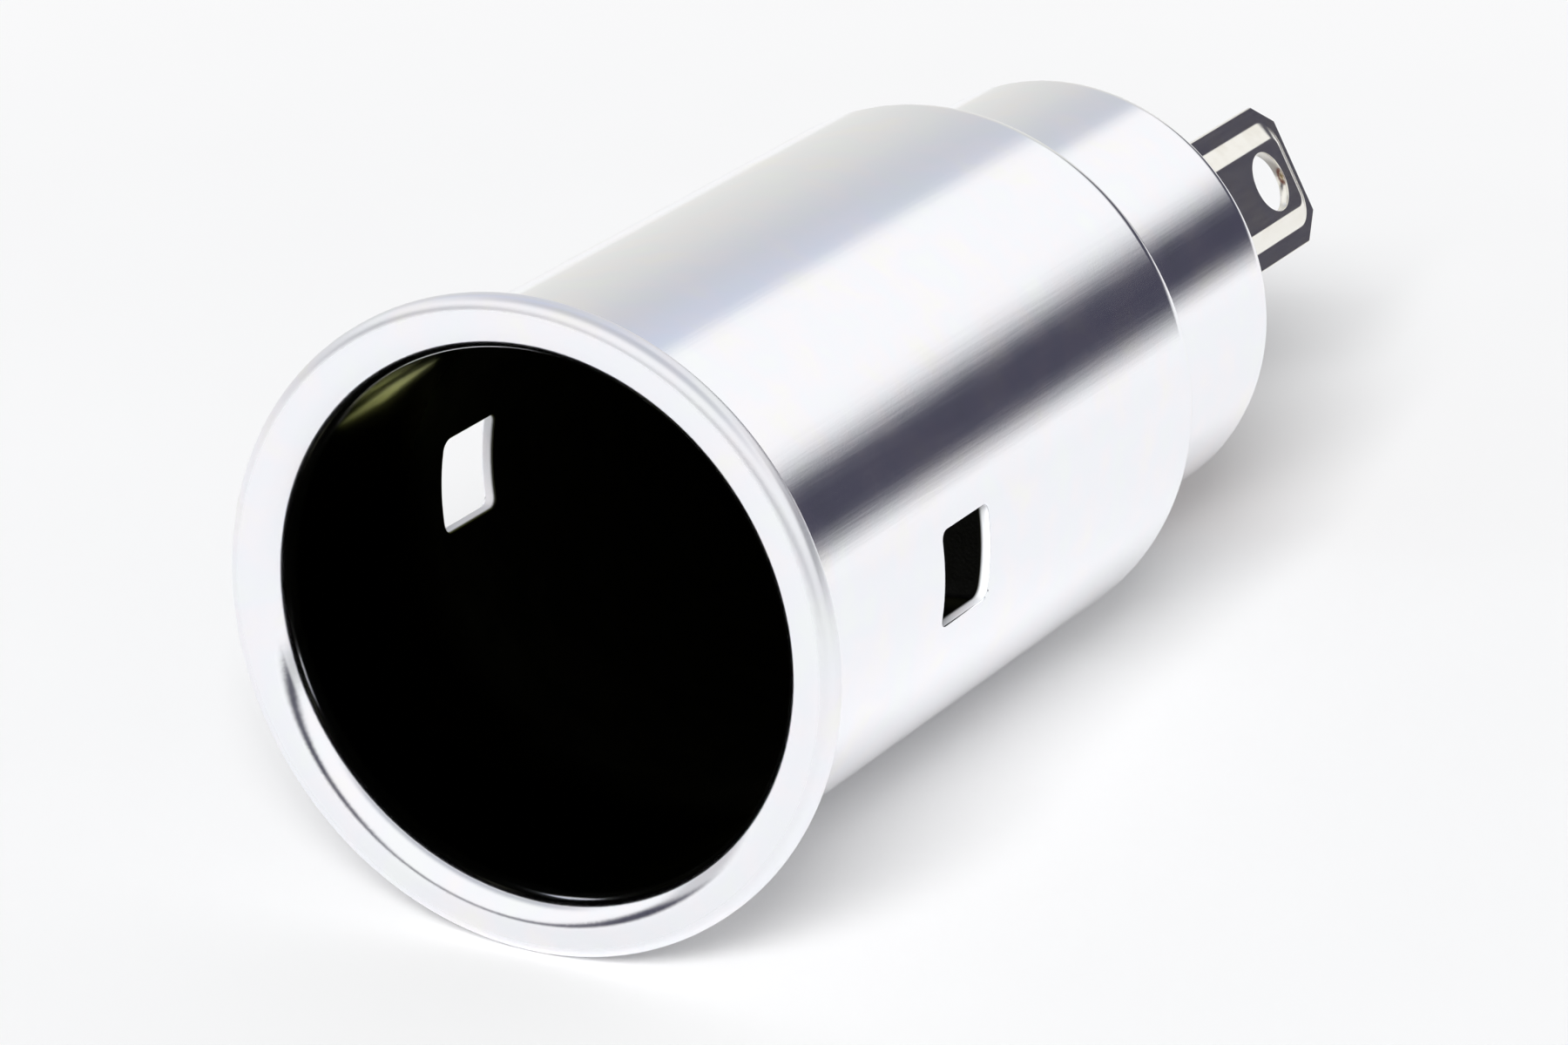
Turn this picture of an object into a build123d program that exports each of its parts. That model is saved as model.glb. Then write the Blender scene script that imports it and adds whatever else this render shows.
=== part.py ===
from build123d import *
from math import cos, radians, sin
import os

# A 12 volt power socket for a car: a plated steel shell with a flanged mouth, a barrel and a neck,
# a moulded insulator with a riveted brass centre contact, and a quick-connect tab behind it.
# Millimetres. The socket's axis is Y: the mouth faces -Y and the tab points to +Y.
# The origin is on the axis, in the plane of the flange's back face, which seats on the panel.

# Shell
bore_diameter = 21.0
wall = 0.55
hem_gap = 0.1
flange_width = 1.55
flange_rim_round = 0.5
flange_root_round = 0.2
mouth_round = 1.1
body_length = 32.95
neck_diameter = 18.2
neck_length = 11.1
neck_end_round = 0.9
neck_root_round = 0.4
shoulder_round = 1.15
bottom_round = 0.9
inner_edge_round = 0.4

# Windows in the barrel wall, one on each side
window_length = 3.8
window_width = 3.8
window_corner = 0.4
window_place = 12.65

# Centre contact: rivet and plate
rivet_diameter = 3.2
rivet_clearance = 0.1
rivet_head_overhang = 1.4
rivet_head_height = 1.5
rivet_head_rim = 0.4
tail_overhang = 0.7
tail_height = 0.9
hollow_wall = 0.65
hollow_depth = 2.6
plate_overhang = 1.3
plate_thickness = 0.8
plate_edge = 0.2

# Insulator bush
bush_clearance = 0.1
bush_flange_thickness = 0.8
bush_edge = 0.3
pilot_wall = 2.2
contact_recess = 0.2

# Fibre washer
washer_inset = 1.3
washer_thickness = 1.0

# Blade terminal
blade_angle = 28.0
blade_width = 6.3
blade_sheet = 0.45
blade_length = 14.4
blade_bend = 0.4
tail_room = 0.25
tip_chamfer_across = 1.05
tip_chamfer_along = 1.45
wing_width = 0.75
panel_slope = 0.8
panel_rise = 0.35
panel_root_gap = 4.0
panel_tip_gap = 0.35
panel_corner = 0.5
eye_diameter = 2.6
eye_to_tip = 3.1

# Share of a narrow face that the rounding at one of its edges may take, and of the shoulder at its outer edge
rounding_share = 0.45
shoulder_share = 0.6

# Radii worked out from the sizes
bore_radius = bore_diameter / 2
body_radius = bore_radius + wall
flange_radius = body_radius + flange_width
neck_radius = neck_diameter / 2
neck_bore_radius = neck_radius - wall
rivet_radius = rivet_diameter / 2
rivet_hole_radius = rivet_radius + rivet_clearance
head_radius = rivet_radius + rivet_head_overhang
tail_radius = rivet_radius + tail_overhang
hollow_radius = rivet_radius - hollow_wall
plate_radius = head_radius + plate_overhang
pilot_radius = rivet_hole_radius + pilot_wall
end_hole_radius = pilot_radius + bush_clearance

# The sheet is folded back on itself at the flange
flange_thickness = 2 * wall + hem_gap

# Places along the axis, from the mouth to the tab
mouth = -flange_thickness
shoulder_floor = body_length - wall
bush_front = shoulder_floor - bush_flange_thickness
head_front = bush_front + contact_recess
plate_front = head_front + rivet_head_height
plate_back = plate_front + plate_thickness
neck_end = body_length + neck_length
neck_floor = neck_end - wall
foot_front = neck_end + washer_thickness
foot_back = foot_front + blade_sheet

# The tab's own directions: out of its face, and across its width
blade_out = (cos(radians(blade_angle)), 0, sin(radians(blade_angle)))
blade_across = (sin(radians(blade_angle)), 0, -cos(radians(blade_angle)))
blade_back = (-sin(radians(blade_angle)), 0, cos(radians(blade_angle)))

os.makedirs("parts", exist_ok=True)


def within(radius, width):
    """A rounding that leaves part of the narrow face beside it flat."""
    return min(radius, rounding_share * width)


def turned_section(points, rounds):
    """A closed half section of (radius, place along Y) points, with some of its corners rounded."""
    with BuildSketch(Plane.XY) as section:
        with BuildLine():
            Polyline(*points, close=True)
        make_face()
        for corner, radius in rounds:
            fillet(section.vertices().sort_by_distance(corner)[0], radius)
    return section.sketch


# Shell: one drawn cup of even wall, turned out and hemmed at the mouth and stepped in at the neck
mouth_edge = (bore_radius, mouth)
flange_front_edge = (flange_radius, mouth)
flange_back_edge = (flange_radius, 0)
flange_root = (body_radius, 0)
shoulder_edge = (body_radius, body_length)
neck_root = (neck_radius, body_length)
neck_edge = (neck_radius, neck_end)
neck_corner = (neck_bore_radius, neck_floor)
shoulder_inner_edge = (neck_bore_radius, shoulder_floor)
bottom_corner = (bore_radius, shoulder_floor)
shoulder_width = body_radius - neck_radius
shoulder_turn = min(shoulder_round, shoulder_share * shoulder_width)
mouth_face = flange_radius - bore_radius - 2 * flange_rim_round
shell_points = [
    mouth_edge,
    flange_front_edge,
    flange_back_edge,
    flange_root,
    shoulder_edge,
    neck_root,
    neck_edge,
    (end_hole_radius, neck_end),
    (end_hole_radius, neck_floor),
    neck_corner,
    shoulder_inner_edge,
    bottom_corner,
]
shell_rounds = [
    (mouth_edge, min(mouth_round, mouth_face)),
    (flange_front_edge, within(flange_rim_round, flange_thickness)),
    (flange_back_edge, within(flange_rim_round, flange_thickness)),
    (flange_root, within(flange_root_round, flange_width)),
    (shoulder_edge, shoulder_turn),
    (neck_root, within(neck_root_round, shoulder_width - shoulder_turn)),
    (neck_edge, neck_end_round),
    (neck_corner, inner_edge_round),
    (shoulder_inner_edge, within(inner_edge_round, shoulder_width)),
    (bottom_corner, within(bottom_round, shoulder_width)),
]
with BuildPart() as shell:
    add(turned_section(shell_points, shell_rounds))
    revolve(axis=Axis.Y)
    with BuildSketch(Plane.YZ):
        with Locations((window_place, 0)):
            RectangleRounded(window_length, window_width, window_corner)
    extrude(amount=flange_radius, both=True, mode=Mode.SUBTRACT)
shell.part.label = "shell"
export_step(shell.part, "parts/shell.step")

# Insulator bush: a flange on the shoulder, a spigot down the neck and a pilot in the end hole
bush_flange_radius = bore_radius - within(bottom_round, shoulder_width) - bush_clearance
spigot_radius = neck_bore_radius - bush_clearance
spigot_end = neck_floor - bush_clearance
well_radius = plate_radius + bush_clearance
bush_front_edge = (bush_flange_radius, bush_front)
well_edge = (well_radius, bush_front)
spigot_edge = (spigot_radius, spigot_end)
bush_points = [
    well_edge,
    bush_front_edge,
    (bush_flange_radius, shoulder_floor),
    (spigot_radius, shoulder_floor),
    spigot_edge,
    (pilot_radius, spigot_end),
    (pilot_radius, neck_end),
    (rivet_hole_radius, neck_end),
    (rivet_hole_radius, plate_back),
    (well_radius, plate_back),
]
bush_rounds = [
    (bush_front_edge, within(bush_edge, bush_flange_thickness)),
    (well_edge, within(bush_edge, bush_flange_thickness)),
    (spigot_edge, inner_edge_round + bush_clearance),
]
with BuildPart() as insulator_bush:
    add(turned_section(bush_points, bush_rounds))
    revolve(axis=Axis.Y)
insulator_bush.part.label = "insulator_bush"
export_step(insulator_bush.part, "parts/insulator_bush.step")

# Contact plate: a brass disc at the bottom of the bush's well
with BuildPart() as contact_plate:
    with BuildSketch(Plane.XZ.offset(-plate_front)):
        Circle(plate_radius)
        Circle(rivet_hole_radius, mode=Mode.SUBTRACT)
    extrude(amount=-plate_thickness)
    rim = contact_plate.edges().filter_by(GeomType.CIRCLE).sort_by(SortBy.RADIUS)[-2:]
    fillet(rim, within(plate_edge, plate_thickness))
contact_plate.part.label = "contact_plate"
export_step(contact_plate.part, "parts/contact_plate.step")

# Contact rivet: a domed head that meets the plug, a shank and a tubular tail spread over the tab's foot
head_rim = within(rivet_head_rim, rivet_head_height)
tail_end = foot_back + tail_height
hollow_floor = tail_end - hollow_depth
dome_height = rivet_head_height - head_rim
dome_radius = (head_radius**2 + dome_height**2) / (2 * dome_height)
with BuildPart() as contact_rivet:
    with BuildSketch(Plane.XY):
        with BuildLine():
            dome = RadiusArc((0, head_front), (head_radius, plate_front - head_rim), dome_radius)
            Polyline(
                dome @ 1,
                (head_radius, plate_front),
                (rivet_radius, plate_front),
                (rivet_radius, foot_back),
                (tail_radius, foot_back),
            )
            curl = RadiusArc((tail_radius, foot_back), (hollow_radius, tail_end), -tail_radius)
            Polyline(
                curl @ 1,
                (hollow_radius, hollow_floor),
                (0, hollow_floor - hollow_radius),
                dome @ 0,
            )
        make_face()
    revolve(axis=Axis.Y)
contact_rivet.part.label = "contact_rivet"
export_step(contact_rivet.part, "parts/contact_rivet.step")

# Fibre washer: keeps the tab's foot off the end wall of the neck
with BuildPart() as fibre_washer:
    with BuildSketch(Plane.XZ.offset(-neck_end)):
        Circle(neck_radius - washer_inset)
        Circle(rivet_hole_radius, mode=Mode.SUBTRACT)
    extrude(amount=-washer_thickness)
fibre_washer.part.label = "fibre_washer"
export_step(fibre_washer.part, "parts/fibre_washer.step")

# Blade terminal: a stamped strip bent up from a round foot, with a raised panel and an eye
side_plane = Plane(origin=(0, foot_front, 0), x_dir=blade_out, z_dir=blade_back)
face_plane = Plane(origin=(0, foot_front, 0), x_dir=blade_across, z_dir=blade_out)
foot_plane = Plane(origin=(0, foot_front, 0), x_dir=blade_out, z_dir=(0, 1, 0))
half_width = blade_width / 2
blade_inside = tail_radius + tail_room + blade_bend
blade_offset = blade_inside + blade_sheet
panel_base_width = blade_width - 2 * wing_width
panel_top_width = panel_base_width - 2 * panel_slope
panel_middle = (panel_root_gap + blade_length - panel_tip_gap) / 2
panel_length = blade_length - panel_tip_gap - panel_root_gap
outer_bend = (blade_offset, 0)
inner_bend = (blade_inside, blade_sheet)

with BuildPart() as blade_terminal:
    # The strip seen from its side: a flat foot, a bend and the upright tab
    with BuildSketch(side_plane) as strip:
        with BuildLine():
            Polyline(
                (-half_width, 0),
                outer_bend,
                (blade_offset, blade_length),
                (blade_inside, blade_length),
                inner_bend,
                (-half_width, blade_sheet),
                close=True,
            )
        make_face()
        fillet(strip.vertices().sort_by_distance(outer_bend)[0], blade_bend + blade_sheet)
        fillet(strip.vertices().sort_by_distance(inner_bend)[0], blade_bend)
    extrude(amount=half_width, both=True)
    # The foot seen from behind: round about the rivet
    with BuildSketch(foot_plane):
        Circle(half_width)
        with Locations((blade_offset / 2, 0)):
            Rectangle(blade_offset, blade_width)
    extrude(amount=blade_length, mode=Mode.INTERSECT)
    # The tab seen from its face: chamfered at both corners of its tip
    with BuildSketch(face_plane):
        with BuildLine():
            Polyline(
                (-half_width, 0),
                (half_width, 0),
                (half_width, blade_length - tip_chamfer_along),
                (half_width - tip_chamfer_across, blade_length),
                (tip_chamfer_across - half_width, blade_length),
                (-half_width, blade_length - tip_chamfer_along),
                close=True,
            )
        make_face()
    extrude(amount=blade_offset + half_width, both=True, mode=Mode.INTERSECT)
    # The raised panel: pushed out of the sheet, so its back is hollow
    for panel_foot, mode in ((blade_offset, Mode.ADD), (blade_inside, Mode.SUBTRACT)):
        with BuildSketch(face_plane.offset(panel_foot)):
            with Locations((0, panel_middle)):
                RectangleRounded(panel_base_width, panel_length, panel_corner + panel_slope)
        with BuildSketch(face_plane.offset(panel_foot + panel_rise)):
            with Locations((0, panel_middle)):
                RectangleRounded(panel_top_width, panel_length - 2 * panel_slope, panel_corner)
        loft(mode=mode)
    with BuildSketch(face_plane):
        with Locations((0, blade_length - eye_to_tip)):
            Circle(eye_diameter / 2)
    extrude(amount=blade_offset + panel_rise, mode=Mode.SUBTRACT)
    with BuildSketch(foot_plane):
        Circle(rivet_hole_radius)
    extrude(amount=blade_sheet, mode=Mode.SUBTRACT)
blade_terminal.part.label = "blade_terminal"
export_step(blade_terminal.part, "parts/blade_terminal.step")
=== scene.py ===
# %% [markdown]
# # A 12 volt power socket
# The socket is a drawn steel cup with a flanged mouth, a barrel and a narrower neck, plated bright. A
# moulded insulator and a riveted brass contact sit at the bottom of the bore, and a tinned tab stands
# behind the neck. The CAD model comes in first, because every piece made here has to lie where it says.

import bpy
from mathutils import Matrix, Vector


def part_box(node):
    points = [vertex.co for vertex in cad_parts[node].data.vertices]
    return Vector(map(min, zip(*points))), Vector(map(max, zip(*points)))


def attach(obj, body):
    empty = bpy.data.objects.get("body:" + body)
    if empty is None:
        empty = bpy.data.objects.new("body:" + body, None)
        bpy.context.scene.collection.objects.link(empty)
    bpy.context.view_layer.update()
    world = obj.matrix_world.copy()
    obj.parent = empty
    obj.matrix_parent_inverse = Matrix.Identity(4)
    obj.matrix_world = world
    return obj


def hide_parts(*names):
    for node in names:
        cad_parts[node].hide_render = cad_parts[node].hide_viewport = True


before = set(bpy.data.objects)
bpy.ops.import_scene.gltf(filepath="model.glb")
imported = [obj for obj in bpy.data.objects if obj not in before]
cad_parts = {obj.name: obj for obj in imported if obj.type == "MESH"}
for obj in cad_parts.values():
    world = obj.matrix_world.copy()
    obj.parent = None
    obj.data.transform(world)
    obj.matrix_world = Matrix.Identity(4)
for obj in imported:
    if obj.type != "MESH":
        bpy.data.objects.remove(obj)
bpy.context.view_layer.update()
print("CAD nodes:", sorted(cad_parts))

# %% [markdown]
# ## Shader maths as expressions
# A finish is a small sum: a base value, plus some cloud, minus some wear. Wiring that by hand hides the
# sum among node names, so one class wraps a socket and lets Python's operators add the Math nodes. Every
# other kind of node comes from its one method, which sets a node's options before it fills the sockets.

# %% A socket that can be added and multiplied
import bpy


class Wire:
    """An output socket of a node tree, or the bare tree, from which the first nodes are made."""

    def __init__(self, tree, socket=None):
        self.tree = tree
        self.socket = socket

    def node(self, kind, settings=None, inputs=None, output=0):
        """One output of a new node, whose inputs are given as values or as wires to link."""
        made = self.tree.nodes.new("ShaderNode" + kind)
        for name, value in (settings or {}).items():
            if name == "stops":
                self.set_stops(made.color_ramp.elements, value)
            else:
                setattr(made, name, value)
        for name, value in (inputs or {}).items():
            if isinstance(value, Wire):
                self.tree.links.new(value.socket, made.inputs[name])
            else:
                made.inputs[name].default_value = value
        return Wire(self.tree, made.outputs[output] if made.outputs else None)

    @staticmethod
    def set_stops(elements, stops):
        while len(elements) < len(stops):
            elements.new(1.0)
        for element, (position, tone) in zip(elements, stops):
            element.position = position
            element.color = (*tone, 1.0)

    def math(self, operation, first, second):
        return self.node("Math", {"operation": operation}, {0: first, 1: second})

    def __add__(self, other):
        return self.math("ADD", self, other)

    def __radd__(self, other):
        return self.math("ADD", other, self)

    def __sub__(self, other):
        return self.math("SUBTRACT", self, other)

    def __rsub__(self, other):
        return self.math("SUBTRACT", other, self)

    def __mul__(self, other):
        return self.math("MULTIPLY", self, other)

    def __rmul__(self, other):
        return self.math("MULTIPLY", other, self)

    def ramp(self, low, high):
        """0 below low, 1 above high and a soft step between them."""
        settings = {"interpolation_type": "SMOOTHSTEP"}
        return self.node("MapRange", settings, {"Value": self, "From Min": low, "From Max": high})

    def blend(self, first, second):
        """A colour that goes from the first to the second as this value goes from 0 to 1."""
        inputs = {"Factor": self, 6: first, 7: second}
        return self.node("Mix", {"data_type": "RGBA"}, inputs, output=2)


print("a Wire has", [name for name in vars(Wire) if not name.startswith("_")])

# %% [markdown]
# ## A place to measure from
# A texture could be painted on an unwrapped mesh, but plating and moulding run on round every edge
# without a seam. So all finishes here are solid textures: they read the point's own place in the part, in
# millimetres. Stretching that place along the axis before it reaches a noise turns spots into lines.

# %% Start a finish
MM = 0.001


def colour(red, green, blue):
    return (red, green, blue, 1.0)


def new_finish(name):
    """A new material, its bare tree, and the surface's place in millimetres."""
    material = bpy.data.materials.new(name)
    material.use_nodes = True
    material.node_tree.nodes.clear()
    start = Wire(material.node_tree)
    point = start.node("TexCoord", output="Object")
    place = start.node("VectorMath", {"operation": "SCALE"}, {0: point, "Scale": 1 / MM})
    return material, start, place


def stretch(place, across, along):
    """The place scaled differently across and along the socket's axis."""
    return place.node("VectorMath", {"operation": "MULTIPLY"}, {0: place, 1: (across, along, across)})


def noise(place, scale, detail):
    settings = {"noise_dimensions": "3D"}
    return place.node("TexNoise", settings, {"Vector": place, "Scale": scale, "Detail": detail})


def principled(start, inputs, bump=None, bump_height=0.0):
    """A Principled shader, with a bump of that height in millimetres."""
    if bump is not None:
        lift = {"Height": bump, "Distance": bump_height * MM, "Strength": 1.0}
        inputs = {**inputs, "Normal": start.node("Bump", {}, lift)}
    return start.node("BsdfPrincipled", {}, inputs)


def surface(start, shader):
    """Covers the finish with a shader."""
    start.node("OutputMaterial", {}, {"Surface": shader})


print("finishes are measured in", MM, "m")

# %% [markdown]
# ## Where a finish begins and ends
# A mask is 1 where a finish holds and 0 elsewhere, with a soft step between. Vertex groups could hold it,
# but they belong to one mesh's points. A length, along the socket's axis or out from it, says the same
# for any mesh, so masks are made of lengths here.

# %% Masks by length


def from_origin(place):
    """How far the place lies from the origin."""
    return place.node("VectorMath", {"operation": "LENGTH"}, {0: place}, output="Value")


def from_axis(place):
    """How far the place lies from the socket's axis."""
    return from_origin(stretch(place, across=1.0, along=0.0))


def along_axis(place):
    """How far the place lies behind the flange's back face."""
    return place.node("SeparateXYZ", {}, {0: place}, output=1)


def past(measure, length, soft):
    """1 where a measure is past a length, after a soft step that starts there."""
    return measure.ramp(length / MM, (length + soft) / MM)


def between(measure, low, high, soft):
    """1 where a measure lies between two lengths, with soft steps just inside them."""
    return past(measure, low, soft) * (1 - past(measure, high - soft, soft))


print("masks are ready")

# %% [markdown]
# ## Sizes of the shell
# One even sheet makes the hemmed flange, the barrel, the shoulder and the neck. Both ends are read from
# the frame, and the rest are the shell's own driving sizes. The plating and the mesh both go by them, so
# they are set before either is made.

# %% Shell sizes
bore = 10.5 * MM
wall = 0.55 * MM
barrel = bore + wall
flange = barrel + 1.55 * MM
neck = 9.1 * MM
neck_bore = neck - wall
end_hole = 4.0 * MM
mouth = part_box("shell")[0].y
shoulder = 32.95 * MM
shoulder_floor = shoulder - wall
neck_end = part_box("shell")[1].y
neck_floor = neck_end - wall
window_side = 3.8 * MM
window_place = 12.65 * MM
window_front = window_place - 0.7 * window_side
window_back = window_place + 0.7 * window_side
print("flange radius", flange, "neck end at", neck_end)

# %% [markdown]
# ## Bright plated steel
# The shell is zinc plated and passivated, so it mirrors its surroundings with a faint blue cast that
# drifts to lilac and straw in clouds. Deep drawing leaves very fine lines along the axis, which soften
# the mirror a little. A smooth metal shader alone would be too perfect a mirror, so lines, clouds and
# grain lift its surface.

# %% Lines, clouds and casts
plated_steel, start, place = new_finish("bright_plated_steel")
draw_lines = noise(stretch(place, across=1.0, along=0.04), scale=5.0, detail=3.0)
clouds = noise(place, scale=0.45, detail=4.0)
grain = noise(place, scale=9.0, detail=2.0)
casts = [
    (0.30, (0.945, 0.965, 0.970)),
    (0.45, (0.940, 0.950, 0.985)),
    (0.58, (0.965, 0.950, 0.980)),
    (0.72, (0.970, 0.965, 0.945)),
]
passivated = clouds.node("ValToRGB", {"stops": casts}, {"Fac": clouds})
print("the plating drifts through", len(casts), "casts")

# %% [markdown]
# The plating isn't the same all over. The sides of the windows are torn by the punch, so they scatter
# light, and the flange's rim is rubbed dull. Inside the bore the steel is given a near-black colour,
# which is painted shade for the dark inside of the cup. It mirrors only at a glance, with an olive cast,
# and is duller further in. One shader could take all that by masks, but the bore's steel differs in every
# value, so two shaders are mixed by one mask.

# %% Where the plating is cut and rubbed, and where the bore is painted dark
CUT_EDGE = 0.05 * MM
radius, depth = from_axis(place), along_axis(place)
in_sheet = between(radius, bore + CUT_EDGE, barrel - CUT_EDGE, soft=0.06 * MM)
in_cut = in_sheet * between(depth, window_front, window_back, soft=0.5 * MM)
on_rim = past(radius, flange - 0.6 * MM, soft=0.25 * MM)
behind_lip = past(depth, 0.05 * MM, soft=0.45 * MM)
outside = past(radius, bore + CUT_EDGE, soft=0.15 * MM)
past_floor = past(depth, shoulder_floor + CUT_EDGE, soft=0.15 * MM)
# The bore, where the steel is painted near black as painted shade.
in_bore = behind_lip * (1 - outside) * (1 - past_floor)
far_in = past(depth, 6.0 * MM, soft=5.0 * MM)
print("bare steel inside radius", bore)

# %% Plated steel, and the bore's painted shade
# The bore's near-black colours are painted shade for the dark inside of the cup, with a cloudy variation.
painted_bore_shade = clouds.ramp(0.35, 0.65).blend(colour(0.022, 0.022, 0.014), colour(0.036, 0.036, 0.024))
plated = principled(
    start,
    {
        "Base Color": passivated,
        "Metallic": 1 - 0.9 * in_cut,
        "Roughness": 0.07 + 0.06 * draw_lines + 0.07 * clouds + 0.4 * in_cut + 0.25 * on_rim,
    },
    bump=draw_lines + 0.4 * grain + 1.2 * clouds,
    bump_height=0.0015,
)
# The bore's shader: its near-black base colour is painted shade, while its olive glance and duller depth
# come from its tint and roughness.
bare = principled(
    start,
    {
        "Base Color": painted_bore_shade,
        "Metallic": 1.0,
        "Roughness": 0.065 + 0.085 * draw_lines + 0.4 * far_in,
        "Specular Tint": colour(0.97, 1.0, 0.5),
    },
)
surface(start, start.node("MixShader", {}, {0: in_bore, 1: plated, 2: bare}))
print("made", plated_steel.name)

# %% [markdown]
# ## Black insulator
# The bush is moulded in a spark-eroded tool, which leaves a fine even texture, and dust greys it in
# patches. The texture is far too small to model, so a noise gives it as bump and roughness.

# %% Black insulator
black_insulator, start, place = new_finish("black_insulator")
spark = noise(place, scale=7.0, detail=3.0)
dust = noise(place, scale=0.8, detail=4.0).ramp(0.40, 0.75)
moulding = {
    "Base Color": dust.blend(colour(0.008, 0.008, 0.009), colour(0.020, 0.020, 0.021)),
    "Roughness": 0.42 + 0.2 * spark,
}
surface(start, principled(start, moulding, bump=spark, bump_height=0.02))
print("made", black_insulator.name)

# %% [markdown]
# ## Contact brass
# The plate and the rivet are turned, which leaves rings about the axis. A noise that reads nothing but
# the distance from the axis makes such rings by itself. The end that faces a plug, deep in the bore, is
# painted dark as painted shade, and the riveted end, past the insulator, keeps the brass's own colour,
# so two pairs of colours change over along the axis.

# %% Contact brass
contact_brass, start, place = new_finish("contact_brass")
rings = noise(place.node("CombineXYZ", {}, {0: from_axis(place)}), scale=14.0, detail=3.0)
tarnish = noise(place, scale=0.9, detail=4.0)
stains = tarnish.ramp(0.35, 0.70)
# 1 towards the riveted end, which keeps the brass's own colour; the plug end in the bore gets painted
# shade.
riveted_end = past(along_axis(place), 36.0 * MM, soft=4.0 * MM)
bright = stains.blend(colour(0.62, 0.45, 0.18), colour(0.40, 0.28, 0.11))
# The darker pair of colours is painted shade for the contact deep in the bore.
painted_shade_brass = stains.blend(colour(0.10, 0.085, 0.03), colour(0.05, 0.042, 0.016))
brass = {
    "Base Color": riveted_end.blend(painted_shade_brass, bright),
    "Metallic": 1.0,
    "Roughness": 0.42 + 0.1 * rings + 0.2 * tarnish - 0.2 * riveted_end,
}
surface(start, principled(start, brass, bump=rings, bump_height=0.006))
print("made", contact_brass.name)

# %% [markdown]
# ## Red fibre
# The washer is punched from vulcanised fibre: pressed paper, dyed red. Its fibres could be modelled as
# hairs, but at this size they are only a fine speckle, so a noise gives them, drawn out along the axis.
# A second noise mottles the dye.

# %% Red fibre
red_fibre, start, place = new_finish("red_fibre")
fibres = noise(stretch(place, across=4.0, along=0.6), scale=2.0, detail=4.0)
mottle = noise(place, scale=1.1, detail=3.0)
dye = (0.6 * fibres + 0.4 * mottle).ramp(0.35, 0.65)
fibre = {
    "Base Color": dye.blend(colour(0.20, 0.045, 0.03), colour(0.34, 0.10, 0.065)),
    "Roughness": 0.6 + 0.25 * fibres,
}
surface(start, principled(start, fibre, bump=fibres, bump_height=0.03))
print("made", red_fibre.name)

# %% [markdown]
# ## Tinned brass
# The tab is stamped from rolled strip and tinned. The rolling lines show through the tin, and handling
# leaves smudges of a warmer tone, so the two noises share its colour, its roughness and its bump.

# %% Tinned brass
tinned_brass, start, place = new_finish("tinned_brass")
roll_lines = noise(stretch(place, across=1.0, along=0.05), scale=8.0, detail=3.0)
smudge = noise(place, scale=0.7, detail=3.0)
tin = {
    "Base Color": smudge.ramp(0.4, 0.7).blend(colour(0.92, 0.90, 0.84), colour(0.86, 0.83, 0.75)),
    "Metallic": 1.0,
    "Roughness": 0.10 + 0.08 * roll_lines + 0.08 * smudge,
}
surface(start, principled(start, tin, bump=roll_lines, bump_height=0.002))
print("made", tinned_brass.name)

# %% [markdown]
# ## Turned pieces
# Five of the six pieces are round about the socket's axis. A stack of cylinders with bevels could stand
# in for them, but a half section spun about the axis follows every step and rounding. The section is a
# closed outline of square corners, some of them rounded. A point close to each end of a straight run
# keeps the smooth shading flat along it, so that a mirror finish shows no ripple.

# %% Round the corners of a section
from math import atan2, cos, degrees, pi, radians, sin, sqrt

import bmesh
from mathutils import Matrix, Vector

ARC_STEPS = 12
HOLD = 0.04 * MM


def rounded_section(corners):
    """Points (radius, place) of a closed outline, from corners (radius, place, rounding)."""
    outline = []
    for index, (radius, along, rounding) in enumerate(corners):
        corner = Vector((radius, along))
        back = (Vector(corners[index - 1][:2]) - corner).normalized()
        onward = (Vector(corners[(index + 1) % len(corners)][:2]) - corner).normalized()
        if rounding == 0:
            outline.append(corner)
            continue
        centre = corner + rounding * (back + onward)
        outline.append(corner + (rounding + HOLD) * back)
        for step in range(ARC_STEPS + 1):
            turn = step / ARC_STEPS * pi / 2
            outline.append(centre - rounding * (cos(turn) * onward + sin(turn) * back))
        outline.append(corner + (rounding + HOLD) * onward)
    return outline


print("a rounding has", ARC_STEPS, "steps")

# %% Spin a section into a piece
SHARP = radians(25)
SEAM = 1e-4 * MM


def smooth_except_sharp(shape):
    for face in shape.faces:
        face.smooth = True
    for edge in shape.edges:
        edge.smooth = edge.calc_face_angle(0.0) < SHARP


def as_object(name, shape):
    """The object that holds a bmesh, smooth except across its sharp edges."""
    smooth_except_sharp(shape)
    mesh = bpy.data.meshes.new(name)
    shape.to_mesh(mesh)
    shape.free()
    made = bpy.data.objects.new(name, mesh)
    bpy.context.scene.collection.objects.link(made)
    return made


def spun(name, outline, segments):
    """A mesh object made by spinning a closed outline about the Y axis."""
    shape = bmesh.new()
    points = [shape.verts.new((point.x, point.y, 0.0)) for point in outline]
    edges = [shape.edges.new((points[i - 1], points[i])) for i in range(len(points))]
    bmesh.ops.spin(
        shape,
        geom=points + edges,
        cent=(0, 0, 0),
        axis=(0, 1, 0),
        angle=2 * pi,
        steps=segments,
        use_merge=True,
    )
    bmesh.ops.remove_doubles(shape, verts=shape.verts, dist=SEAM)
    bmesh.ops.recalc_face_normals(shape, faces=shape.faces)
    return as_object(name, shape)


print("edges over", round(degrees(SHARP)), "degrees stay sharp")

# %% [markdown]
# ## The shell
# The rounded lip and the tight radii at the shoulder and the neck's end carry the thin bright lines that
# outline a drawn cup, so they are true arcs here and not a bevel on a plain tube. Two rings on each side
# of the wall fence in the windows to come, so that cutting them leaves the rest of the barrel's faces
# alone.

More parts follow.
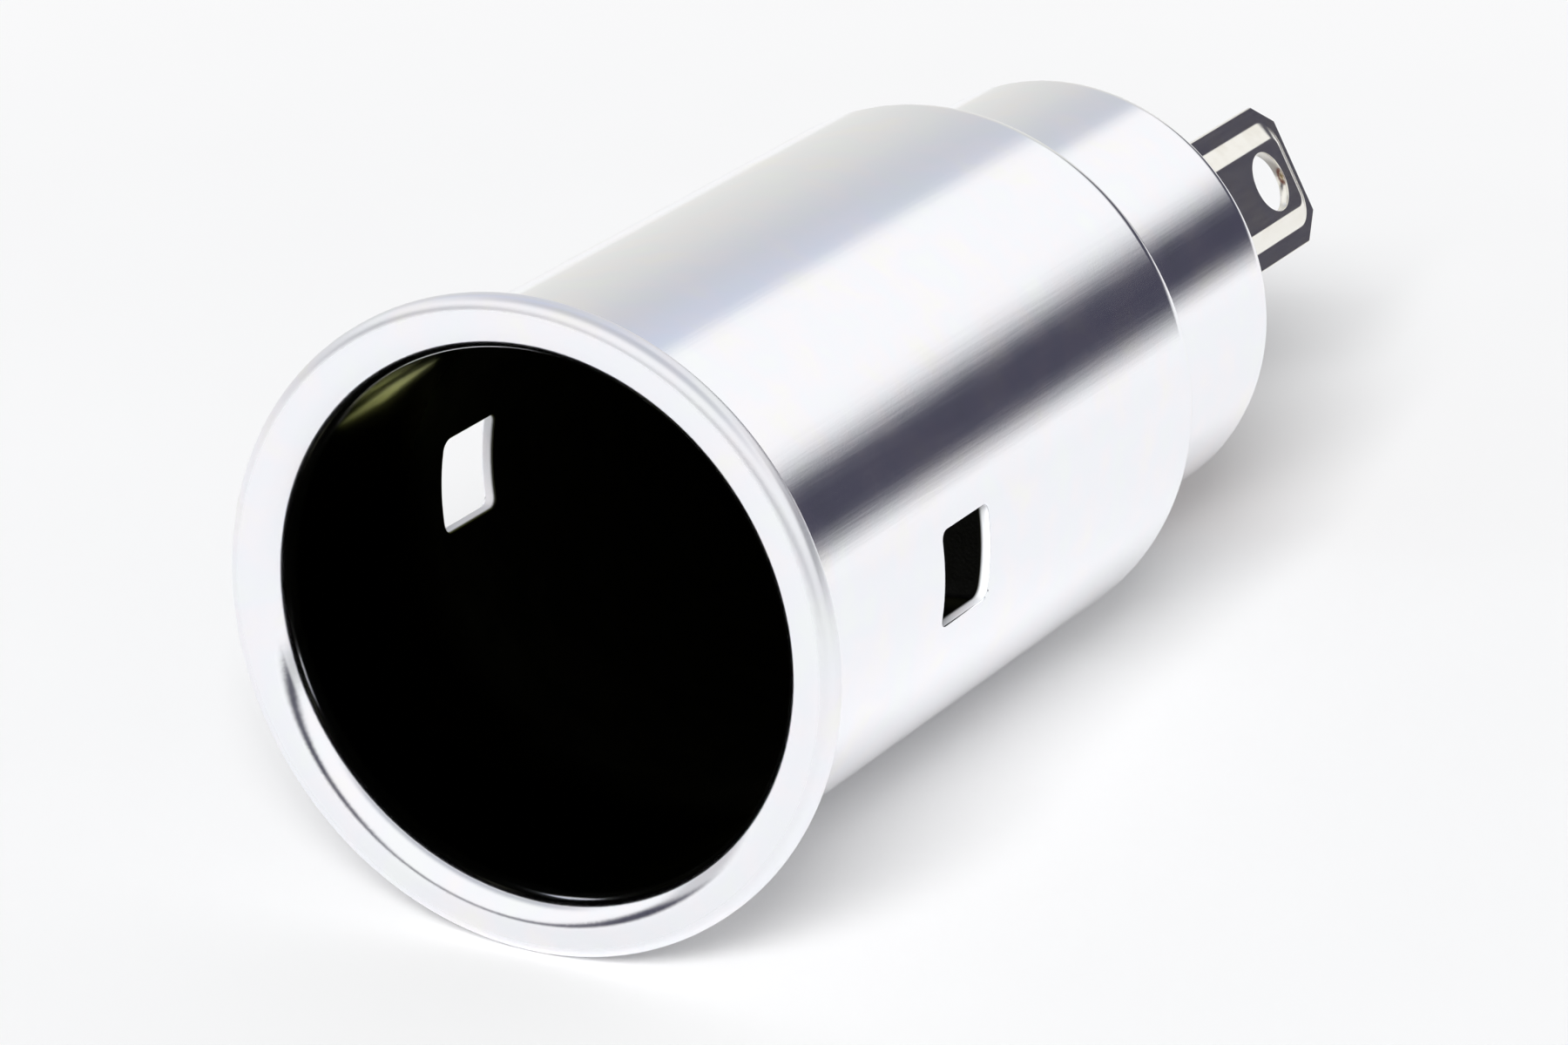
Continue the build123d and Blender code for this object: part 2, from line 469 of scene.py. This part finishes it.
# %% Spin the shell
SHELL_SEGMENTS = 192
lip_round = 1.1 * MM
rim_round = 0.5 * MM
flange_root_round = 0.2 * MM
shoulder_turn = 1.15 * MM
neck_root_round = 0.36 * MM
neck_end_round = 0.9 * MM
inner_round = 0.4 * MM
bottom_turn = 0.8775 * MM
shell_corners = [
    (bore, mouth, lip_round),
    (flange, mouth, rim_round),
    (flange, 0.0, rim_round),
    (barrel, 0.0, flange_root_round),
    (barrel, window_front, 0.0),
    (barrel, window_back, 0.0),
    (barrel, shoulder, shoulder_turn),
    (neck, shoulder, neck_root_round),
    (neck, neck_end, neck_end_round),
    (end_hole, neck_end, 0.0),
    (end_hole, neck_floor, 0.0),
    (neck_bore, neck_floor, inner_round),
    (neck_bore, shoulder_floor, inner_round),
    (bore, shoulder_floor, bottom_turn),
    (bore, window_back, 0.0),
    (bore, window_front, 0.0),
]
shell = spun("socket_shell", rounded_section(shell_corners), SHELL_SEGMENTS)
print("spun", shell.name)

# %% [markdown]
# ## Windows
# A punch makes a square window in each side of the barrel. Its faces could be deleted and patched by
# hand, but a Boolean with one bar through both walls cuts the two windows in line, with the wall's true
# thickness.

# %% Punch the windows
window_corner = 0.4 * MM


def bevel(shape, edges, offset, segments):
    bmesh.ops.bevel(shape, geom=edges, offset=offset, segments=segments, profile=0.5, affect="EDGES")


def punch_bar():
    """A square bar along X with rounded corners, long enough to go through both walls."""
    shape = bmesh.new()
    size = Matrix.Diagonal((2.2 * barrel, window_side, window_side, 1.0))
    bmesh.ops.create_cube(shape, size=1.0, matrix=Matrix.Translation((0, window_place, 0)) @ size)
    lengthwise = [e for e in shape.edges if abs(e.verts[0].co.x - e.verts[1].co.x) > barrel]
    bevel(shape, lengthwise, window_corner, segments=5)
    return as_object("punch_bar", shape)


def apply_modifiers(piece):
    """Replaces a piece's mesh with what its modifiers make of it."""
    bpy.context.view_layer.update()
    graph = bpy.context.evaluated_depsgraph_get()
    finished = bpy.data.meshes.new_from_object(piece.evaluated_get(graph))
    piece.modifiers.clear()
    piece.data = finished


bar = punch_bar()
cut = shell.modifiers.new("windows", "BOOLEAN")
cut.object = bar
cut.solver = "EXACT"
apply_modifiers(shell)
bpy.data.objects.remove(bar)
print("windows at", window_place)

# %% [markdown]
# A punch rolls the edge of the sheet where it goes in. A small bevel along every edge of the cuts gives
# that roll, and the thin line of light that comes with it.

# %% Roll the cut edges
CUT_ANGLE = radians(50)
burr = 0.07 * MM


def roll_edges(piece, offset, segments):
    """Bevels every edge of a piece that is as sharp as a cut."""
    shape = bmesh.new()
    shape.from_mesh(piece.data)
    sharp = [e for e in shape.edges if e.is_manifold and e.calc_face_angle(0.0) > CUT_ANGLE]
    bevel(shape, sharp, offset, segments)
    smooth_except_sharp(shape)
    shape.to_mesh(piece.data)
    shape.free()
    print(piece.name, "rolled", len(sharp), "edges")


roll_edges(shell, burr, segments=2)

# %% [markdown]
# Cutting and rolling leave many-sided faces round the windows, and smooth shading would bend the mirror
# across them. Their true normals are known, since they lie on two cylinders, so these are written into
# the mesh. The shell is then ready to stand for its CAD node.

# %% True normals for the barrel
ON_ROUND = 0.002 * MM


def true_round(piece, radii):
    """Gives faces that lie on a cylinder about the axis the normals of that cylinder."""
    normals = []
    for face in piece.data.polygons:
        spokes = [Vector((1, 0, 1)) * piece.data.vertices[corner].co for corner in face.vertices]
        fits = [all(abs(spoke.length - radius) < ON_ROUND for spoke in spokes) for radius in radii]
        side = 1 if face.normal.dot(spokes[0]) > 0 else -1
        normals += [side * spoke.normalized() if any(fits) else Vector() for spoke in spokes]
    piece.data.normals_split_custom_set(normals)
    print(piece.name, "has", sum(normal.length > 0 for normal in normals), "true normals")


def stands_for(piece, node, finish):
    """The piece takes a CAD node's place on the body, in that finish."""
    piece.data.materials.clear()
    piece.data.materials.append(finish)
    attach(piece, "root")
    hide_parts(node)
    print(piece.name, "has", len(piece.data.polygons), "faces")


true_round(shell, (barrel, bore))
stands_for(shell, "shell", plated_steel)

# %% [markdown]
# ## The insulator bush
# The bush fills the neck, covers the steel shoulder and leaves a well for the contact. It is small and
# mostly in the dark, but the bore mirrors it, so it is spun from its section too, with a little clearance
# all round.

# %% Insulator bush
SMALL_SEGMENTS = 128
clearance = 0.1 * MM
bush_front = shoulder_floor - 0.8 * MM
contact_front = bush_front + 0.2 * MM
plate_front = contact_front + 1.5 * MM
plate_back = plate_front + 0.8 * MM
rivet = 1.6 * MM
rivet_hole = rivet + clearance
plate = 4.3 * MM
well = plate + clearance
pilot = end_hole - clearance
bush_rim = bore - bottom_turn - clearance
bush_edge = 0.3 * MM
spigot = neck_bore - clearance
spigot_end = neck_floor - clearance
bush_corners = [
    (well, bush_front, bush_edge),
    (bush_rim, bush_front, bush_edge),
    (bush_rim, shoulder_floor, 0.0),
    (spigot, shoulder_floor, 0.0),
    (spigot, spigot_end, inner_round + clearance),
    (pilot, spigot_end, 0.0),
    (pilot, neck_end, 0.0),
    (rivet_hole, neck_end, 0.0),
    (rivet_hole, plate_back, 0.0),
    (well, plate_back, 0.0),
]
bush = spun("bush", rounded_section(bush_corners), SMALL_SEGMENTS)
stands_for(bush, "insulator_bush", black_insulator)

# %% [markdown]
# ## Contact plate and fibre washer
# The plate lies at the bottom of the well, and the washer keeps the tab's foot off the end of the neck.
# Both are flat rings, so their sections are rectangles whose outer corners are slightly rounded.

# %% Contact plate and fibre washer
plate_edge = 0.2 * MM
plate_corners = [
    (rivet_hole, plate_front, 0.0),
    (plate, plate_front, plate_edge),
    (plate, plate_back, plate_edge),
    (rivet_hole, plate_back, 0.0),
]
contact_disc = spun("contact_disc", rounded_section(plate_corners), SMALL_SEGMENTS)
stands_for(contact_disc, "contact_plate", contact_brass)

washer_back = neck_end + 1.0 * MM
washer_rim = neck - 1.3 * MM
washer_edge = 0.08 * MM
washer_corners = [
    (rivet_hole, neck_end, 0.0),
    (washer_rim, neck_end, washer_edge),
    (washer_rim, washer_back, washer_edge),
    (rivet_hole, washer_back, 0.0),
]
washer = spun("washer", rounded_section(washer_corners), SMALL_SEGMENTS)
stands_for(washer, "fibre_washer", red_fibre)

# %% [markdown]
# ## The rivet
# The rivet's head is a shallow dome and its hollow tail curls out over the tab's foot, so its outline has
# two free arcs, which corners with roundings can't give. Each arc is drawn through its two ends with a
# given radius, bulging away from the shank.

# %% Rivet


def arc(first, last, radius, steps):
    """Points on the arc between two points, bulging to the left of the way from first to last."""
    chord = last - first
    to_left = Vector((-chord.y, chord.x)).normalized()
    centre = (first + last) / 2 - to_left * sqrt(radius**2 - chord.length_squared / 4)
    start_spoke = first - centre
    sweep = start_spoke.angle_signed(last - centre)
    return [centre + Matrix.Rotation(-sweep * i / steps, 2) @ start_spoke for i in range(steps + 1)]


head = 3.0 * MM
head_rim = 0.4 * MM
tab_sheet = 0.45 * MM
tail = 2.3 * MM
hollow = 0.95 * MM
foot_back = washer_back + tab_sheet
tail_end = foot_back + 0.9 * MM
hollow_floor = tail_end - 2.6 * MM
dome_foot = plate_front - head_rim
dome_height = dome_foot - contact_front
dome_radius = (head**2 + dome_height**2) / (2 * dome_height)
dome = arc(Vector((head, dome_foot)), Vector((0.0, contact_front)), dome_radius, steps=16)
curl = arc(Vector((hollow, tail_end)), Vector((tail, foot_back)), tail, steps=12)
rivet_outline = [
    *dome,
    Vector((0.0, hollow_floor - hollow)),
    Vector((hollow, hollow_floor)),
    *curl,
    Vector((rivet, foot_back)),
    Vector((rivet, plate_front)),
    Vector((head, plate_front)),
]
contact_rivet = spun("rivet", rivet_outline, SMALL_SEGMENTS)
stands_for(contact_rivet, "contact_rivet", contact_brass)

# %% [markdown]
# ## The tab
# The tab is a stamped strip, bent up from a round foot, with a panel pushed out of it and an eye near its
# tip. It could be modelled again, but its CAD mesh already has that shape and lacks only soft edges. So a
# copy of it is joined up, its flat triangles are merged, and its edges are rolled as a stamping tool
# leaves them.

# %% Soften the tab
CAD_SEAM = 1e-3 * MM
FLAT_ANGLE = radians(0.5)
STAMPED_ANGLE = radians(20)
stamped_roll = 0.05 * MM


def softened_copy(node, name, offset, segments):
    """A copy of a CAD node's mesh with its edges rolled."""
    shape = bmesh.new()
    shape.from_mesh(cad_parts[node].data)
    bmesh.ops.remove_doubles(shape, verts=shape.verts, dist=CAD_SEAM)
    bmesh.ops.dissolve_limit(shape, angle_limit=FLAT_ANGLE, verts=shape.verts, edges=shape.edges)
    sharp = [e for e in shape.edges if e.is_manifold and e.calc_face_angle(0.0) > STAMPED_ANGLE]
    bevel(shape, sharp, offset, segments)
    return as_object(name, shape)


def keep_flats_flat(piece):
    """Lets big faces lead the shading, so that a rolled edge doesn't bend the mirror beside it."""
    weights = piece.modifiers.new("flats", "WEIGHTED_NORMAL")
    weights.keep_sharp = True
    weights.weight = 100
    apply_modifiers(piece)


tab = softened_copy("blade_terminal", "tab", stamped_roll, segments=2)
keep_flats_flat(tab)
stands_for(tab, "blade_terminal", tinned_brass)

# %% [markdown]
# ## Floor
# The socket lies on its flange and on the rear edge of its barrel. A level floor would leave that edge in
# the air, so the floor leans by the small angle between the two.

# %% Floor
FLOOR_RADIUS = 0.2
rest_lean = atan2(flange - barrel, shoulder - shoulder_turn)
floor_shape = bmesh.new()
bmesh.ops.create_circle(floor_shape, cap_ends=True, radius=FLOOR_RADIUS, segments=128)
floor = as_object("floor", floor_shape)
floor.matrix_world = Matrix.Translation((0, 0, -flange)) @ Matrix.Rotation(rest_lean, 4, "X")
print("floor leans", round(degrees(rest_lean), 2), "degrees")

# %% [markdown]
# The floor is plain white. More light would bleach the metal along with it, so part of its white is its
# own, for the camera and for the metal that mirrors it, and the rest takes the shadow. Towards its edge
# all of it is its own, so that the floor runs out into the white behind it.

# %% White floor
WHITE = colour(1.0, 1.0, 1.0)
OWN_SHARE = 0.12


def in_sight(start):
    """1 for what is seen straight or by way of metal or glass, and 0 once a matt surface scatters it."""
    straight = start.node("LightPath", output="Is Camera Ray")
    by_metal = start.node("LightPath", output="Is Glossy Ray")
    by_glass = start.node("LightPath", output="Is Transmission Ray")
    scattered = start.node("LightPath", output="Diffuse Depth").ramp(0.0, 1.0)
    return (straight + by_metal + by_glass) * (1 - scattered)


floor_white, start, place = new_finish("floor_white")
paper = noise(place, scale=0.05, detail=3.0).blend(colour(0.93, 0.93, 0.93), colour(0.96, 0.96, 0.96))
matt = start.node("BsdfDiffuse", {}, {"Color": paper})
glow = start.node("Emission", {}, {"Color": WHITE, "Strength": 1.0})
outskirts = past(from_origin(place), 70.0 * MM, soft=120.0 * MM)
own_white = (OWN_SHARE + (1 - OWN_SHARE) * outskirts) * in_sight(start)
surface(start, start.node("MixShader", {}, {0: own_white, 1: matt, 2: glow}))
floor.data.materials.append(floor_white)
print("made", floor_white.name)

# %% [markdown]
# ## Surroundings
# Polished metal shows nothing but its surroundings, so these are part of its look. Cards and screens
# could stand round the socket, as in a studio, but a world that reads the direction of a ray gives the
# same, casts no shadow and is never in the way. White above and below makes most of the shell white.
# Between them lies a dim band at eye level. It is high at the back, where it is the dark streak along the
# barrel. In front it is lower, lowest towards the left, and draws a thin line round the lip. It is faint
# at the far left and right.

# %% Directions
world = bpy.data.worlds.new("studio")
bpy.context.scene.world = world
world.use_nodes = True
world.node_tree.nodes.clear()
start = Wire(world.node_tree)
direction = start.node("TexCoord", output="Generated")
rightward, backward, upward = (
    start.node("SeparateXYZ", {}, {0: direction}, output=axis) for axis in range(3)
)
leftward, forward = 0 - rightward, 0 - backward
at_back = backward.ramp(0.2, 0.6)
print("made world", world.name)

# %% Dim band
TOP_IN_FRONT = 0.12
TOP_AT_BACK = 0.32
on_left = leftward.ramp(0.4, 0.75)
aside = (rightward * rightward).ramp(0.6, 0.8)
front_top = TOP_IN_FRONT + 0.10 * rightward.ramp(-0.25, 0.05)
top = front_top + (TOP_AT_BACK - front_top) * start.math("MAXIMUM", at_back, on_left)
band = upward.ramp(-0.07, 0.10) * (1 - (upward - top).ramp(-0.08, 0.08)) * (1 - 0.6 * aside)
print("the band rises to", TOP_AT_BACK, "at the back")

# %% [markdown]
# Straight above and behind, the ceiling is a soft grey, which shades the barrel when it is seen from a
# side. A pale wall stands at the back on the left, and is the grey along the barrel's top. Its paint runs
# from a warm grey below to blue above.

# %% Ceiling and wall
overhead = upward.ramp(0.6, 0.85) * (1 - forward.ramp(0.1, 0.4))
ceiling = overhead.blend(WHITE, colour(0.55, 0.56, 0.60))
room = band.blend(ceiling, colour(0.060, 0.058, 0.086))
wall_tones = [
    (0.00, (0.80, 0.80, 0.77)),
    (0.30, (0.71, 0.71, 0.69)),
    (0.46, (0.60, 0.61, 0.65)),
    (0.56, (0.62, 0.67, 0.80)),
]
wall_paint = upward.node("ValToRGB", {"stops": wall_tones}, {"Fac": upward})
on_wall = at_back * leftward.ramp(0.07, 0.17) * upward.ramp(-0.16, -0.11)
around = on_wall.blend(room, wall_paint)
print("the wall has", len(wall_tones), "tones")

# %% [markdown]
# The surroundings show at full strength in the metal and are plain white to the camera. Matt surfaces get
# less of them, because the lamp gives the rest of their light, and with it a shadow.

# %% World light
AMBIENT = 0.46
shown = start.node("LightPath", output="Is Camera Ray").blend(around, WHITE)
strength = AMBIENT + (1 - AMBIENT) * in_sight(start)
start.node("OutputWorld", {}, {0: start.node("Background", {}, {"Color": shown, "Strength": strength})})
print("ambient light", AMBIENT)

# %% [markdown]
# ## Lamp
# One long soft lamp hangs in front, above the camera and a little to its left. Its shadow falls behind
# the socket, and only a soft edge of it shows along the barrel's right side. The metal doesn't mirror the
# lamp itself, so the flange throws no glare on the floor.

# %% Key lamp


def toward(azimuth, elevation):
    """The direction from the socket to a point at that azimuth, from -Y towards +X, and elevation."""
    a, e = radians(azimuth), radians(elevation)
    return Vector((sin(a) * cos(e), -cos(a) * cos(e), sin(e)))


def soft_lamp(name, azimuth, elevation, distance, size, watts):
    """A rectangular lamp, some metres from the barrel's middle and turned to it."""
    light = bpy.data.lights.new(name, "AREA")
    light.shape = "RECTANGLE"
    light.size, light.size_y = size
    light.energy = watts
    lamp = bpy.data.objects.new(name, light)
    lamp.location = Vector((0, shoulder / 2, 0)) + distance * toward(azimuth, elevation)
    lamp.rotation_euler = toward(azimuth, elevation).to_track_quat("Z", "Y").to_euler()
    lamp.visible_glossy = False
    bpy.context.scene.collection.objects.link(lamp)
    return lamp


key = soft_lamp("key", azimuth=18.0, elevation=34.0, distance=6.0, size=(3.0, 1.8), watts=395.0)
print("lamp at", key.location)

# %% [markdown]
# ## Camera
# The camera stands to the right of the axis and looks down at the mouth through a long lens. Its place
# comes from fitting the mouth's edge, the barrel's rear edge and the neck's end to where they are seen.

# %% Camera
AZIMUTH, ELEVATION = 28.27, 20.10
DISTANCE = 250.81 * MM
SHIFT_RIGHT, SHIFT_UP = 9.44 * MM, 4.01 * MM
LENS = 159.72
back = toward(AZIMUTH, ELEVATION)
right = Vector((cos(radians(AZIMUTH)), sin(radians(AZIMUTH)), 0.0))
up = back.cross(right)
lens = bpy.data.cameras.new("camera")
lens.lens = LENS
lens.sensor_width = 36.0
lens.clip_start = 0.01
camera = bpy.data.objects.new("camera", lens)
camera.location = Vector((0, mouth, 0)) + SHIFT_RIGHT * right + SHIFT_UP * up + DISTANCE * back
camera.rotation_euler = back.to_track_quat("Z", "Y").to_euler()
bpy.context.scene.collection.objects.link(camera)
bpy.context.scene.camera = camera
bpy.context.scene.view_settings.view_transform = "Standard"
print("camera at", camera.location)

# %% [markdown]
